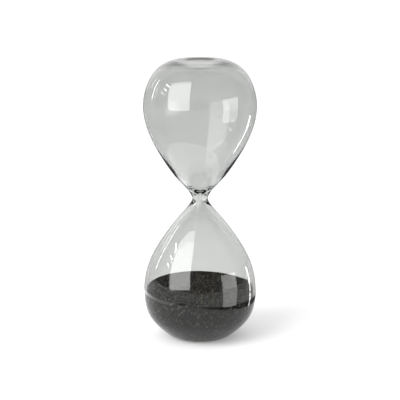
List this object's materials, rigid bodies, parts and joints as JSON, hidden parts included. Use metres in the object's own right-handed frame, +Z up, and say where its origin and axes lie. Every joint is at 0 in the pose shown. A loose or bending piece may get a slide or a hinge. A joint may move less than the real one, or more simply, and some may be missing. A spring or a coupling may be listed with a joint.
{
  "type": "hourglass",
  "caption": "Frameless blown-glass sand timer: two teardrop bulbs fused at a thick clear neck, flat at both ends, with black sand in the lower bulb.",
  "frame": {"origin": "middle of the base, on the axis of revolution, in the plane of the lower standing ring", "axes": "+Z up along the axis of revolution, from the sand-filled bulb to the empty one; the sand's surface falls towards the front, -Y"},
  "size_m": [0.0762, 0.0762, 0.1905],
  "materials": {
    "smoke_glass": "gloss",
    "black_sand": "matte",
    "bronze_sand": "satin"
  },
  "bodies": {
    "glass": {"lower_bulb": "smoke_glass", "neck_weld": "smoke_glass", "upper_bulb": "smoke_glass", "fill_seal": "smoke_glass", "stray_grains": "black_sand"},
    "sand": {"sand_bed": "black_sand", "bronze_grains": "bronze_sand"},
    "stream": {"falling_grains": "black_sand"}
  },
  "joints": [
    {"name": "sand_swirl", "type": "hinge", "parent": "glass", "child": "sand", "pos_m": [0, 0, 0.033], "axis": [0, 0, 1], "continuous": true},
    {"name": "sand_run", "type": "slide", "parent": "glass", "child": "stream", "axis": [0, 0, 1], "range_m": [0, 0.077]}
  ]
}
